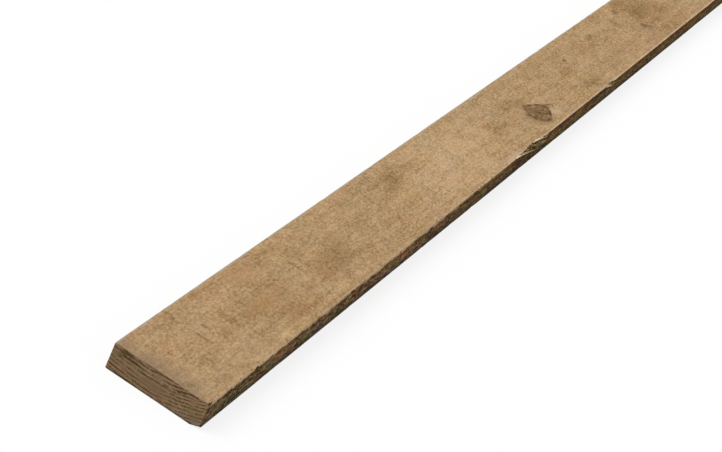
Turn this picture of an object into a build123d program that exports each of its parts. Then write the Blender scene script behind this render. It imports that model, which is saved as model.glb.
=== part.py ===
from build123d import *
import math
import os

# A rough-sawn softwood plank: one board of nominal one by four stock, six feet long.
# Millimetres, +X along the board away from its front end, +Y across it to the left,
# +Z up. The origin is the centre of the underside.

# The section that the saw left
LENGTH = 1829.0
WIDTH = 100.0
THICKNESS = 28.0

# The four long arrises are worn by handling, each by its own amount
ROUND_TOP_LEFT = 2.5
ROUND_TOP_RIGHT = 1.8
ROUND_LOW_LEFT = 1.5
ROUND_LOW_RIGHT = 2.0

# The front end's saw cut leans back towards the top and runs a little out of square
END_LEAN = 1.7
END_SKEW = 1.0

# Corners knocked off the front end: how far each break reaches along the board,
# across it and up or down it
BREAK_LOW_RIGHT = (5.5, 10.0, 3.6)
BREAK_TOP_RIGHT = (8.0, 3.6, 4.5)
BREAK_TOP_LEFT = (4.0, 3.2, 3.2)

# Torn places on the right upper arris, where the grain dives round a knot.
# Each station is a distance from the front end, the depth torn into the top face and
# the depth torn down the side, so one list is one splinter that came away.
LONG_SPLINTER = [
    (741.0, 0.7, 0.8),
    (750.0, 1.3, 2.6),
    (768.0, 1.7, 5.4),
    (792.0, 2.0, 9.6),
    (815.0, 1.7, 14.5),
    (832.0, 1.0, 17.6),
    (850.0, 0.15, 20.0),
]
DEEP_SPLINTER = [
    (772.0, 1.2, 1.8),
    (781.0, 3.0, 4.6),
    (797.0, 3.5, 8.0),
    (809.0, 4.1, 10.5),
    (822.0, 2.6, 12.6),
    (831.0, 1.6, 9.0),
    (835.0, 0.7, 2.5),
]
SHORT_SPLINTER = [
    (1062.0, 0.7, 0.8),
    (1069.0, 1.5, 3.2),
    (1080.0, 2.0, 6.2),
    (1089.0, 1.8, 8.6),
    (1094.0, 0.7, 8.6),
    (1106.0, 0.15, 11.0),
]
# A torn face drops steeply for this share of its depth and then runs out as a ledge
STEEP_DROP = 0.72
STEEP_LEAN = 0.85

# The splits that carry on from the torn places, down the right side: start and end
# as (distance from the front end, height), the widest gap and the depth
LONG_SPLIT = ((829.0, 11.6), (876.0, 3.2), 1.3, 2.2)
SHORT_SPLIT = ((1089.0, 21.2), (1133.0, 10.0), 1.0, 1.8)

# How far a cutting shape stands clear of the wood it cuts
CLEAR = 2.0

FRONT = -LENGTH / 2
RIGHT = -WIDTH / 2


def sawn_board():
    """The section with its worn arrises, drawn out from just past the front end."""
    half = THICKNESS / 2
    arris_rounds = {
        (1, 1): ROUND_TOP_LEFT,
        (-1, 1): ROUND_TOP_RIGHT,
        (1, -1): ROUND_LOW_LEFT,
        (-1, -1): ROUND_LOW_RIGHT,
    }
    section = Rectangle(WIDTH, THICKNESS)
    for (side, level), radius in arris_rounds.items():
        corner = Vector(side * WIDTH / 2, level * half, 0)
        vertex = section.vertices().sort_by_distance(corner)[0]
        section = fillet(vertex, radius)
    start = Plane.YZ.offset(FRONT - CLEAR) * Pos(0, half)
    return extrude(start * section, amount=LENGTH + CLEAR)


def front_cut():
    """The plane of the front saw cut, through the board's foremost corner."""
    skew = math.tan(math.radians(END_SKEW))
    lean = math.tan(math.radians(END_LEAN))
    return Plane(origin=(FRONT, RIGHT, 0), z_dir=(-1, skew, lean))


def corner_break(side, level, reach):
    """The lump that a knock takes off one corner of the front end."""
    along, across, deep = reach
    corner = Vector(FRONT, side * WIDTH / 2, THICKNESS if level > 0 else 0)
    broken_face = Plane(
        origin=corner + Vector(along, 0, 0),
        z_dir=(-1 / along, side / across, level / deep),
    )
    lump = 4 * max(reach)
    on_the_face = (Align.CENTER, Align.CENTER, Align.MIN)
    return broken_face * Box(lump, lump, lump, align=on_the_face)


def splinter_section(distance, into_top, down_side):
    """One cross-section of a splinter that tore off the right upper arris."""
    wall = RIGHT + into_top
    foot = RIGHT + STEEP_LEAN * into_top
    ledge_start = THICKNESS - STEEP_DROP * down_side
    ledge_end = THICKNESS - down_side
    ledge_fall = (ledge_start - ledge_end) / (foot - RIGHT)
    outline = Polyline(
        (RIGHT - CLEAR, THICKNESS + CLEAR),
        (wall, THICKNESS + CLEAR),
        (wall, THICKNESS),
        (foot, ledge_start),
        (RIGHT - CLEAR, ledge_end - CLEAR * ledge_fall),
        close=True,
    )
    return Plane.YZ.offset(FRONT + distance) * make_face(outline)


def splinter(stations):
    """A whole splinter, straight from station to station as torn wood is."""
    return loft([splinter_section(*station) for station in stations], ruled=True)


def side_crack(start, end, gap, depth):
    """A closing crack in the right side: widest at its start, and shut at its end."""
    run = Vector(end[0] - start[0], end[1] - start[1], 0)
    square = Vector(-run.Y, run.X, 0).normalized() * gap / 2
    mouth_up = (start[0] + square.X, start[1] + square.Y)
    mouth_low = (start[0] - square.X, start[1] - square.Y)
    outline = make_face(Polyline(mouth_up, end, mouth_low, close=True))
    side = Plane(origin=(FRONT, RIGHT - CLEAR, 0), x_dir=(1, 0, 0), z_dir=(0, -1, 0))
    return extrude(side * outline, amount=-(CLEAR + depth))


def plank():
    """The whole board, sawn, knocked at its corners and torn beside the knot."""
    board = sawn_board()
    board = board.split(front_cut(), keep=Keep.BOTTOM)
    board -= corner_break(-1, -1, BREAK_LOW_RIGHT)
    board -= corner_break(-1, 1, BREAK_TOP_RIGHT)
    board -= corner_break(1, 1, BREAK_TOP_LEFT)
    for stations in (LONG_SPLINTER, DEEP_SPLINTER, SHORT_SPLINTER):
        board -= splinter(stations)
    for crack in (LONG_SPLIT, SHORT_SPLIT):
        board -= side_crack(*crack)
    return board


os.makedirs("parts", exist_ok=True)
whole = plank()
export_step(whole, "parts/plank.step")
box = whole.bounding_box()
print("plank", round(whole.volume / 1000), "cubic centimetres, box", box.min, box.max)
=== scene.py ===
# %% [markdown]
# A rough-sawn plank, six feet long, with a torn arris and one knot.
# The lesson is how a block is given worn arrises, torn splinters, cracks and broken corners, and how
# a solid pattern of growth rings makes its faces and its ends agree. The first cell loads the
# measured plank as a fixed frame, in metres. Everything made later stays inside it.

# %% Load the frame and keep its box
import math
import random
import bpy
import bmesh
import numpy as np
from mathutils import Matrix, Vector, noise


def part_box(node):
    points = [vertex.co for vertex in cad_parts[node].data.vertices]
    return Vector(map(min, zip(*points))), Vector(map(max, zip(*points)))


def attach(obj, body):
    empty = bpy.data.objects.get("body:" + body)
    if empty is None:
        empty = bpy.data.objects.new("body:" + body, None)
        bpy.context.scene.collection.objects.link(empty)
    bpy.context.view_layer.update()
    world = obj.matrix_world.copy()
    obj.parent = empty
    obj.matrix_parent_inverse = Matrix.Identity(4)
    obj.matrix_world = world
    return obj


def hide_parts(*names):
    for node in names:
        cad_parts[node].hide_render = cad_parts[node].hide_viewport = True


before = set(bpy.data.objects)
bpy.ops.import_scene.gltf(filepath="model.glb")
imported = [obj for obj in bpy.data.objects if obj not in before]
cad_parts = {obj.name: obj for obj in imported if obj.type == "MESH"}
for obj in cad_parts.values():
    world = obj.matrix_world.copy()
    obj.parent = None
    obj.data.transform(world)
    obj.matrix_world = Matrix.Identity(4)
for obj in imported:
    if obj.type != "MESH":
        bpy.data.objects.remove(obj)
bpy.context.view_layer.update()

# %% [markdown]
# The board's own numbers come from the frame. Carpenters speak in millimetres, so lengths are
# written as a number times MM. The front end, nearest the camera, is sawn out of square, so the true
# length counts back from the square far end.

# %% Measure the board
MM = 0.001
LENGTH = 1829 * MM
low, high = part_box("plank")
WIDTH = high.y - low.y
THICK = high.z - low.z
FRONT = high.x - LENGTH
RIGHT = low.y
TOP = high.z
print("board", round(LENGTH / MM), "x", round(WIDTH / MM, 2), "x", round(THICK / MM, 2), "mm")

# %% [markdown]
# The mesh starts as a cube. A cube that is only scaled has nothing to bend, so its edges are cut into
# many short ones, direction by direction, and every face becomes a grid. This could also be a grid
# extruded downwards, but a cube is closed from the start.

# %% Cut a cube into a fine block
CELLS = (450, 60, 30)
ALONG, ACROSS, UP = range(3)


def runs_along(edge, axis):
    """True for an edge that is parallel to one axis."""
    step = edge.verts[1].co - edge.verts[0].co
    return abs(step[axis]) > 0.9 * step.length


def fine_block(cells):
    """A unit cube whose faces are grids with the given number of cells."""
    block = bmesh.new()
    bmesh.ops.create_cube(block, size=1)
    for axis in (UP, ACROSS, ALONG):
        edges = [edge for edge in block.edges if runs_along(edge, axis)]
        bmesh.ops.subdivide_edges(block, edges=edges, cuts=cells[axis] - 1, use_grid_fill=True)
    return block


board = fine_block(CELLS)
print("block of", len(board.faces), "faces")

# %% [markdown]
# Even cells waste faces: the flat middle of a face needs few, while a worn arris or a torn place
# needs many. So a list of wished spacings along each direction is turned into a running count of
# lines, and the grid lines are read off that count at even steps.

# %% Crowd the grid lines where the detail is
ARRIS_ZONE = 4.5 * MM
TORN_ZONES = ((735 * MM, 895 * MM), (1055 * MM, 1140 * MM))


def crowded(start, end, cells, wishes):
    """Grid lines from start to end, spaced in proportion to the wished spacing at each place."""
    fine = np.linspace(start, end, 20000)
    places, spacings = zip(*wishes)
    density = 1 / np.interp(fine, places, spacings)
    count = np.concatenate(([0], np.cumsum((density[1:] + density[:-1]) / 2)))
    return np.interp(np.linspace(0, count[-1], cells + 1), count, fine)


def along_wishes():
    """Wished spacing along the board, in metres from its front end."""
    wishes = [(0, 0.2 * MM), (1.5 * MM, 0.5 * MM), (12 * MM, 1.2 * MM), (40 * MM, 6 * MM)]
    for start, end in TORN_ZONES:
        wishes += [(start - 8 * MM, 6 * MM), (start, 1.6 * MM), (end, 1.6 * MM), (end + 8 * MM, 6 * MM)]
    wishes += [(LENGTH - 12 * MM, 6 * MM), (LENGTH - 1.5 * MM, 0.5 * MM), (LENGTH, 0.2 * MM)]
    return wishes


def section_wishes(span, spacing):
    """Wished spacing across the section: fine at both arrises and coarser between them."""
    return [
        (0, 0.35 * MM), (ARRIS_ZONE, 0.6 * MM), (ARRIS_ZONE + 6 * MM, spacing),
        (span - ARRIS_ZONE - 6 * MM, spacing), (span - ARRIS_ZONE, 0.6 * MM), (span, 0.35 * MM),
    ]


GRID = (
    FRONT + crowded(0, LENGTH, CELLS[ALONG], along_wishes()),
    RIGHT + crowded(0, WIDTH, CELLS[ACROSS], section_wishes(WIDTH, 3 * MM)),
    crowded(0, THICK, CELLS[UP], section_wishes(THICK, 1.2 * MM)),
)


def to_real_size(block):
    """Moves each vertex of the unit block to its own grid lines and returns the places."""
    unit = np.array([vertex.co for vertex in block.verts])
    places = np.empty_like(unit)
    for axis in (ALONG, ACROSS, UP):
        line = np.rint((unit[:, axis] + 0.5) * CELLS[axis]).astype(int)
        places[:, axis] = GRID[axis][line]
    return places


places = to_real_size(board)
print("closest lines", round(np.diff(GRID[ALONG]).min() / MM, 2), "mm apart, widest",
      round(np.diff(GRID[ALONG]).max() / MM, 2), "mm")

# %% [markdown]
# The four long edges of a board are called arrises. The saw leaves them sharp, and handling wears
# them round, more in some places than in others. A Bevel would give each arris one even radius. Here
# the radius drifts along the board, with small dents added, and the square corner of the grid is bent
# into an arc of that radius.

# %% Wear the arrises round
ARRIS_RADII = {(1, 1): 0.8 * MM, (-1, 1): 1.0 * MM, (1, -1): 1.2 * MM, (-1, -1): 0.8 * MM}
DENTS_PER_ARRIS = 34
random.seed(7)


def waver(*place):
    """Smooth noise at a place, from about -1 to 1."""
    return noise.noise(Vector(place))


def drift(values, size, seed):
    """Smooth noise from 0 to 1 along a line of values, with features of about the given size."""
    return np.array([0.5 + 0.5 * waver(value / size, seed, seed * 0.37) for value in values])


def worn_radius(stations, base, seed):
    """The radius of one arris at each station along the board."""
    long_drift = drift(stations, 90 * MM, seed)
    radius = base * (0.62 + 0.5 * long_drift + 0.3 * drift(stations, 14 * MM, seed + 5))
    for _ in range(DENTS_PER_ARRIS):
        centre = FRONT + random.uniform(0.01, 0.99) * LENGTH
        reach = random.uniform(2, 7) * MM
        depth = random.uniform(0.1, 0.9) * MM
        radius += depth * np.exp(-((stations - centre) / reach) ** 2)
    return np.minimum(radius, ARRIS_ZONE)


def round_the_arrises(places):
    """Bends the square corners of the section into arcs."""
    stations = GRID[ALONG]
    nearest = np.searchsorted(stations, places[:, 0] - 1e-7)
    middle = THICK / 2
    for index, ((side, level), base) in enumerate(ARRIS_RADII.items()):
        radius = worn_radius(stations, base, 3.1 + 7 * index)[nearest]
        out = radius - (WIDTH / 2 - side * places[:, 1])
        up = radius - (THICK / 2 - level * (places[:, 2] - middle))
        corner = (out > 0) & (up > 0)
        squeeze = np.maximum(out, up)[corner] / np.hypot(out, up)[corner]
        places[corner, 1] += side * out[corner] * (squeeze - 1)
        places[corner, 2] += level * up[corner] * (squeeze - 1)
        print("arris", (side, level), "radius from", round(radius.min() / MM, 1),
              "to", round(radius.max() / MM, 1), "mm")


round_the_arrises(places)

# %% [markdown]
# A frame saw or a bandsaw never leaves a true plane. The blade wanders, so each face swells and dips
# by a few tenths of a millimetre. The dips are pressed inwards only, so the board keeps its size.
# Each move fades to nothing at the middle of the section, as if the wood were squeezed there.

# %% Let the sawn faces wander
FACE_WANDER = 0.25 * MM
EDGE_WANDER = 0.25 * MM


def wander(places, seed):
    """Dips from 0 to 1: long ones along the board, shorter ones across it."""
    sizes = (Vector((1 / 0.16, 1 / 0.045, 0)), Vector((1 / 0.03, 1 / 0.02, 0)))
    dips = np.empty(len(places))
    for number, (x, y, z) in enumerate(places):
        broad = waver(x * sizes[0].x, y * sizes[0].y, seed)
        close = waver(x * sizes[1].x, y * sizes[1].y, seed + 9)
        dips[number] = 0.5 + 0.42 * broad + 0.16 * close
    return np.clip(dips, 0, 1)


def press_faces_in(places):
    """Presses the top, the underside and both edges in by small uneven amounts."""
    height = places[:, 2] / THICK * 2 - 1
    across = places[:, 1] / (WIDTH / 2)
    upper = wander(places, 2.0)
    under = wander(places, 15.0)
    sides = wander(places[:, (0, 2, 1)], 31.0)
    places[:, 2] -= FACE_WANDER * np.where(height > 0, upper * height, under * height)
    places[:, 1] -= EDGE_WANDER * across * sides


press_faces_in(places)
print("highest place", round(places[:, 2].max() / MM, 2), "mm")

# %% [markdown]
# The last half millimetre of each end is drawn in along a quarter circle, which takes off the sharp
# edge as handling does. Then the front is sheared to its crosscut, which leans back towards the top
# and runs off to one side, over a short stretch so that nothing shows further along.

# %% Saw the ends and ease their edges
END_LEAN = math.radians(1.7)
END_SKEW = math.radians(1.0)
SHEAR_REACH = 30 * MM
END_EASE = 0.6 * MM


def end_cut(places):
    """How far the sawn front end lies behind the square one at each place of the section."""
    return math.tan(END_SKEW) * (places[:, 1] - RIGHT) + math.tan(END_LEAN) * places[:, 2]


def ease_ends(places):
    """Draws the section in along a quarter circle close to each end."""
    to_end = np.minimum(places[:, 0] - FRONT, FRONT + LENGTH - places[:, 0])
    left_over = np.clip(END_EASE - to_end, 0, None)
    inset = END_EASE - np.sqrt(np.maximum(END_EASE ** 2 - left_over ** 2, 0))
    places[:, 1] *= 1 - inset / (WIDTH / 2)
    places[:, 2] += (THICK / 2 - places[:, 2]) * inset / (THICK / 2)


def shear_front(places):
    """Slopes the front end to its saw cut."""
    fade = np.clip(1 - (places[:, 0] - FRONT) / SHEAR_REACH, 0, 1)
    places[:, 0] += fade * end_cut(places)


ease_ends(places)
shear_front(places)
for vertex, place in zip(board.verts, places):
    vertex.co = place
print("front end from", round((places[:, 0].min() - FRONT) / MM, 2), "mm")

# %% [markdown]
# Each kind of surface will have its own finish. The materials are made now, still empty, because a
# cut made with a Boolean hands the cutter's material to the new faces. The grid's faces get theirs
# from the way they point.

# %% Name the finishes and give them out
FINISHES = ("sawn_face", "sawn_edge", "end_grain", "torn_grain", "fresh_split", "dark_gap")
finishes = {name: bpy.data.materials.new(name) for name in FINISHES}


def finish_for(normal):
    """The index of the finish on a face of the block that points this way."""
    if abs(normal.x) > 0.7:
        return FINISHES.index("end_grain")
    if abs(normal.y) > abs(normal.z):
        return FINISHES.index("sawn_edge")
    return FINISHES.index("sawn_face")


def put_in_scene(name, data):
    """A new object that is part of the scene."""
    thing = bpy.data.objects.new(name, data)
    bpy.context.scene.collection.objects.link(thing)
    return thing


def block_mesh(block):
    """Turns the block into a mesh that carries the finishes."""
    block.normal_update()
    for face in block.faces:
        face.material_index = finish_for(face.normal)
        face.smooth = True
    mesh = bpy.data.meshes.new("sawn_board")
    block.to_mesh(mesh)
    block.free()
    for material in finishes.values():
        mesh.materials.append(material)
    return mesh


piece = put_in_scene("sawn_board", block_mesh(board))
print(piece.name, "has", len(piece.data.polygons), "faces in", len(FINISHES), "finishes")

# %% [markdown]
# Beside the knot the grain dives, and there the right upper arris has torn away in splinters. Each
# tear has a steep wall, then a ledge that runs out to the side. It is cut with a sheet that lies
# where the wood broke, ridged like split fibres, and pulled outwards into a closed block, which a
# Boolean takes away. Sculpting could do this too, but a cutter keeps the rim crisp and its sizes
# readable. The same Boolean joins a shred on, so one helper does both.

# %% Tools that cut or join
BLOCK_OUT = 9 * MM


def make_tool(name, shape, finish):
    """Turns a closed shape into an object that can cut the piece or join it."""
    bmesh.ops.recalc_face_normals(shape, faces=shape.faces[:])
    if shape.calc_volume(signed=True) < 0:
        bmesh.ops.reverse_faces(shape, faces=shape.faces[:])
    for face in shape.faces:
        face.smooth = True
    mesh = bpy.data.meshes.new(name)
    shape.to_mesh(mesh)
    shape.free()
    mesh.materials.append(finishes[finish])
    return put_in_scene(name, mesh)


def cutter_from_sheet(name, sheet, pull):
    """Pulls a sheet outwards into a closed block that takes wood away."""
    pulled = bmesh.ops.extrude_face_region(sheet, geom=sheet.faces[:], use_keep_orig=True)
    moved = [item for item in pulled["geom"] if isinstance(item, bmesh.types.BMVert)]
    bmesh.ops.translate(sheet, verts=moved, vec=pull)
    return make_tool(name, sheet, "torn_grain")


def combine(piece, tool, operation):
    """Takes the tool out of the piece, or joins it to the piece, and removes the tool."""
    boolean = piece.modifiers.new(tool.name, "BOOLEAN")
    boolean.operation = operation
    boolean.solver = "EXACT"
    boolean.material_mode = "TRANSFER"
    boolean.object = tool
    graph = bpy.context.evaluated_depsgraph_get()
    result = bpy.data.meshes.new_from_object(piece.evaluated_get(graph), depsgraph=graph)
    piece.modifiers.clear()
    print(f"{tool.name}: {len(piece.data.polygons)} faces before, {len(result.polygons)} after")
    piece.data = result
    piece.data.name = piece.name
    bpy.data.objects.remove(tool)


# %% [markdown]
# Each station of a tear is one cross-section: the distance from the front end, how deep the tear
# bites into the top face, and how far down the side it reaches, all in millimetres. The sheet's short
# grid lines follow the section from above the top face, down the wall, along the ledge and out past
# the side. The rim is ragged, because the wood let go fibre by fibre.

# %% The three torn splinters
LONG_SPLINTER = (
    (736, 0.6, 0.8), (745, 1.3, 2.4), (764, 1.8, 5.2), (790, 2.0, 9.6),
    (815, 1.7, 14.5), (832, 1.0, 17.6), (850, 0.15, 20.0),
)
DEEP_SPLINTER = (
    (772, 1.2, 1.8), (781, 3.0, 4.6), (797, 3.5, 8.0), (809, 4.1, 10.5),
    (822, 2.6, 12.6), (831, 1.6, 9.0), (835, 0.7, 2.5),
)
SHORT_SPLINTER = (
    (1062, 0.7, 0.8), (1069, 1.5, 3.2), (1080, 2.0, 6.2),
    (1089, 1.8, 8.6), (1094, 0.7, 8.6), (1106, 0.15, 11.0),
)
STEEP_DROP = 0.72
STEEP_LEAN = 0.85
CLEAR = 2 * MM
FIBRE_RIDGE = 0.7 * MM
RIM_RAG = 0.45
PROFILE_CELLS = (3, 16, 12, 3)


def torn_section(bite, drop):
    """The corners of a tear's section, from above the top face to past the side, as (y, z)."""
    wall = RIGHT + bite
    foot = (RIGHT + STEEP_LEAN * bite, TOP - STEEP_DROP * drop)
    ledge_end = (RIGHT, TOP - drop)
    fall = (foot[1] - ledge_end[1]) / (foot[0] - RIGHT)
    return (wall, TOP + CLEAR), (wall, TOP), foot, ledge_end, (RIGHT - CLEAR, TOP - drop - CLEAR * fall)


def along_section(corners, step):
    """The point a given number of cells along a section."""
    for cells, start, end in zip(PROFILE_CELLS, corners, corners[1:]):
        if step <= cells:
            share = step / cells
            return tuple(a + (b - a) * share for a, b in zip(start, end))
        step -= cells
    return corners[-1]


def fibre_ridge(x, step, seed):
    """The height of the split fibres: long along the board, narrow across the tear."""
    broad = waver(x / (26 * MM), step / 4.2, seed)
    narrow = waver(x / (9 * MM), step / 1.7, seed + 4)
    return FIBRE_RIDGE * (broad + 0.5 * narrow)


def rim_rag(mark, seed):
    """How far the rim of a tear is ragged at one place: broad bites and fine ones."""
    broad = waver(mark / (5 * MM), seed, 30)
    return RIM_RAG * (broad + 0.5 * waver(mark / (2 * MM), seed, 40))


def splinter_cutter(name, stations, seed):
    """The cutter for one torn splinter."""
    marks, bites, drops = np.array(stations).T * MM
    columns = round((marks[-1] - marks[0]) / (0.9 * MM))
    rows = sum(PROFILE_CELLS)
    sheet = bmesh.new()
    bmesh.ops.create_grid(sheet, x_segments=columns, y_segments=rows, size=0.5)
    for vertex in sheet.verts:
        mark = marks[0] + (vertex.co.x + 0.5) * (marks[-1] - marks[0])
        step = round((vertex.co.y + 0.5) * rows)
        bite = np.interp(mark, marks, bites) * (1 + rim_rag(mark, seed))
        y, z = along_section(torn_section(bite, np.interp(mark, marks, drops)), step)
        ridge = fibre_ridge(mark, step, seed)
        vertex.co = (FRONT + mark, y + ridge * 0.7, z - ridge * 0.7)
    return cutter_from_sheet(name, sheet, Vector((0, -BLOCK_OUT, BLOCK_OUT)))


combine(piece, splinter_cutter("long_splinter", LONG_SPLINTER, 1.0), "DIFFERENCE")
combine(piece, splinter_cutter("deep_splinter", DEEP_SPLINTER, 8.0), "DIFFERENCE")
combine(piece, splinter_cutter("short_splinter", SHORT_SPLINTER, 21.0), "DIFFERENCE")

# %% [markdown]
# Shreds of wood still hang in the tears, and under them the wood has opened in slits, finished near
# black as painted shade inside them. Both are long thin bars that swell and close, so they share one
# helper: a cube cut lengthwise, placed by its stations. A station is the distance from the front end,
# how far in from the side and how high the bar's middle lies, and how wide and thick it is there. A
# noise sways it, since wood splits from fibre to fibre and never in a clean line.

# %% A bar that follows its stations
BAR_SWAY = 0.45 * MM
BAR_CELL = 1.5 * MM
BAR_THINNEST = 0.12 * MM
SHRED_CLEAR = 0.1 * MM


def bar_along(name, stations, pinch, finish, seed, kept_inside):
    """A closed bar along (distance, in, height, wide, thick) in millimetres."""
    marks, *rows = np.array(stations).T * MM
    bar = bmesh.new()
    bmesh.ops.create_cube(bar, size=1)
    lengthwise = [edge for edge in bar.edges if runs_along(edge, ALONG)]
    cuts = round((marks[-1] - marks[0]) / BAR_CELL)
    bmesh.ops.subdivide_edges(bar, edges=lengthwise, cuts=cuts, use_grid_fill=True)
    for vertex in bar.verts:
        side, level = vertex.co.y, vertex.co.z
        mark = marks[0] + (vertex.co.x + 0.5) * (marks[-1] - marks[0])
        inset, height, wide, thick = (np.interp(mark, marks, row) for row in rows)
        sway = BAR_SWAY * waver(mark / (6 * MM), seed, side)
        fray = 1 + 0.5 * waver(mark / (3 * MM), seed + 5, level * 9)
        thick = max(thick * fray * (pinch if side > 0 else 1.0), BAR_THINNEST)
        place = Vector((FRONT + mark, RIGHT + inset + side * wide, height + sway + level * thick))
        if kept_inside:
            clear = SHRED_CLEAR * (2 + waver(mark / (2 * MM), seed, level * 5))
            place.y = max(place.y, RIGHT + clear)
            place.z = min(place.z, TOP - clear)
        vertex.co = place
    return make_tool(name, bar, finish)


# %% [markdown]
# From the foot of the long tear a crack runs on down the side and closes to nothing. It is a bar that
# is pinched on its inner side, as a gap between fibres is, and it is cut while the wood is still bare.

# %% The crack below the long tear
SLIT_PINCH = 0.2
CRACK = ((829, 0.1, 11.6, 4.2, 1.3), (876, -0.5, 3.2, 3.0, 0.1))

# the crack's near-black finish is painted shade inside it
combine(piece, bar_along("crack", CRACK, SLIT_PINCH, "dark_gap", 5.0, False), "DIFFERENCE")

# %% [markdown]
# Two pale lips run down the side along the outer edges of the ledges, and a third stands up from the
# rim of the deep tear. Their pale is partly fresh wood and partly painted highlight. The shreds inside
# it have kept their dirt. All start inside solid wood, so that the Boolean joins them on, and end in a
# point. Their corners are held just inside the board's faces.

# %% The shreds in the tears
PALE_SHREDS = (
    ((738, 1.3, 27.4, 2.4, 0.8), (747, 1.3, 26.8, 2.8, 1.8), (764, 1.4, 24.2, 3.0, 2.2),
     (782, 1.4, 21.0, 3.0, 2.2), (792, 1.3, 19.0, 2.6, 2.0), (808, 1.1, 14.6, 2.0, 1.5),
     (824, 0.9, 10.0, 1.2, 0.3)),
    ((803, 4.2, 26.7, 2.0, 1.6), (812, 3.4, 27.0, 2.2, 1.8), (823, 1.9, 26.8, 1.9, 1.5),
     (832, 0.9, 26.3, 0.9, 0.4)),
    ((1062, 1.2, 27.2, 1.9, 0.8), (1071, 1.1, 26.0, 2.3, 2.0), (1088, 1.1, 22.2, 2.4, 2.4),
     (1106, 0.9, 17.8, 2.1, 1.9), (1122, 0.8, 13.4, 1.5, 1.3), (1135, 0.7, 10.0, 0.9, 0.3)),
)
DIRTY_SHREDS = (
    ((772, 2.4, 25.8, 2.4, 1.4), (782, 2.0, 24.6, 2.6, 2.4), (794, 1.4, 21.8, 2.2, 1.6),
     (802, 0.9, 19.8, 0.9, 0.3)),
    ((790, 3.4, 24.2, 2.4, 1.4), (801, 2.9, 23.8, 2.6, 2.4), (813, 2.0, 21.2, 2.2, 1.6),
     (821, 1.3, 19.2, 0.9, 0.3)),
    ((800, 1.9, 17.6, 2.4, 1.6), (813, 1.5, 16.6, 2.4, 2.2), (827, 1.1, 14.2, 1.8, 1.4),
     (839, 0.8, 11.8, 0.9, 0.3)),
)

for finish, shreds in (("fresh_split", PALE_SHREDS), ("torn_grain", DIRTY_SHREDS)):
    for number, stations in enumerate(shreds):
        shred = bar_along(f"{finish}_{number + 1}", stations, 1.0, finish, 70.0 + number, True)
        combine(piece, shred, "UNION")

# %% [markdown]
# The slits lie just under the two lips, widest where the shred lifts most. They are cut after the
# shreds are on, so that they bite into the lips too.

# %% The slits under the lips
SLITS = (
    ((741, 0.25, 25.6, 4.4, 0.4), (748, 0.45, 24.2, 4.8, 3.0), (758, 0.35, 22.7, 4.6, 2.2),
     (775, 0.25, 19.8, 4.4, 1.5), (795, 0.05, 15.6, 4.0, 1.0), (815, -0.35, 10.2, 3.2, 0.3)),
    ((1066, 0.2, 24.9, 4.4, 0.4), (1074, 0.4, 23.0, 4.8, 2.2), (1090, 0.2, 18.9, 4.4, 1.8),
     (1108, 0.0, 14.9, 4.0, 1.3), (1133, -0.5, 8.6, 3.0, 0.2)),
)

# the slits' near-black finish is painted shade inside them
for number, stations in enumerate(SLITS):
    slit = bar_along(f"slit_{number + 1}", stations, SLIT_PINCH, "dark_gap", 3.0 + number, False)
    combine(piece, slit, "DIFFERENCE")

# %% [markdown]
# A board that is dropped on its end loses its corners. Three are knocked off, each along a rough
# plane that meets the board's three edges at its own distances: a grid turned to face outwards,
# roughened a little, and pulled outwards like the tears.

# %% The broken corners of the front end
BROKEN_CORNERS = ((-1, 0, (5.5, 10.0, 3.6)), (-1, 1, (8.0, 3.6, 4.5)), (1, 1, (4.0, 3.2, 3.2)))
BREAK_ROUGHNESS = 0.35 * MM


def corner_cutter(name, side, level, reach):
    """The cutter for one broken corner; reach is along, across and up or down, in millimetres."""
    along, across, deep = (value * MM for value in reach)
    corner = Vector((FRONT, side * WIDTH / 2, TOP * level))
    away = Vector((-1 / along, side / across, (1 if level else -1) / deep)).normalized()
    centre = corner + Vector((along, -side * across, (-1 if level else 1) * deep)) / 3
    turn = away.to_track_quat("Z", "Y").to_matrix().to_4x4()
    sheet = bmesh.new()
    bmesh.ops.create_grid(sheet, x_segments=40, y_segments=40, size=3 * max(along, across, deep),
                          matrix=Matrix.Translation(centre) @ turn)
    for vertex in sheet.verts:
        rough = noise.fractal(vertex.co / (2.5 * MM), 0.8, 2.0, 3)
        vertex.co -= away * BREAK_ROUGHNESS * (0.5 + 0.5 * rough)
    return cutter_from_sheet(name, sheet, away * BLOCK_OUT * 2)


for number, (side, level, reach) in enumerate(BROKEN_CORNERS):
    combine(piece, corner_cutter(f"broken_corner_{number + 1}", side, level, reach), "DIFFERENCE")

# %% [markdown]
# Faces are shaded smooth, so the worn arrises roll over softly, and every edge that turns by more
# than a set angle is marked sharp, so the rims of the tears and the breaks stay crisp.

# %% Settle the shading of the board
CRISP_ANGLE = math.radians(32)


def settle_shading(mesh):
    """Merges the doubles of the cuts and marks the crisp edges."""
    shell = bmesh.new()
    shell.from_mesh(mesh)
    bmesh.ops.remove_doubles(shell, verts=shell.verts[:], dist=0.002 * MM)
    for face in shell.faces:
        face.smooth = True
    for edge in shell.edges:
        edge.smooth = edge.is_manifold and edge.calc_face_angle(0) < CRISP_ANGLE
    open_edges = sum(not edge.is_manifold for edge in shell.edges)
    triangles = sum(len(face.verts) - 2 for face in shell.faces)
    print("board mesh:", triangles, "triangles,", open_edges, "open edges,",
          round(shell.calc_volume() * 1e6), "cubic centimetres")
    shell.to_mesh(mesh)
    shell.free()


settle_shading(piece.data)

# %% [markdown]
# The finishes are built from nodes. Two small helpers let a formula read like a formula: what comes
# out of a node is a signal, and the signs + - * / between signals add the nodes that work them out.
# Any argument may be a plain number or a signal. Places are worked out in millimetres from the front
# end, which keeps the sizes of grain and stains readable.

# %% Signals and wiring
class Signal:
    """What comes out of a node."""

    def __init__(self, wires, socket):
        self.wires = wires
        self.socket = socket


def sign(operation, turned_round):
    """What a sign between two signals does."""
    def work_out(signal, other):
        pair = (other, signal) if turned_round else (signal, other)
        return signal.wires.math(operation, *pair)
    return work_out


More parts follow.
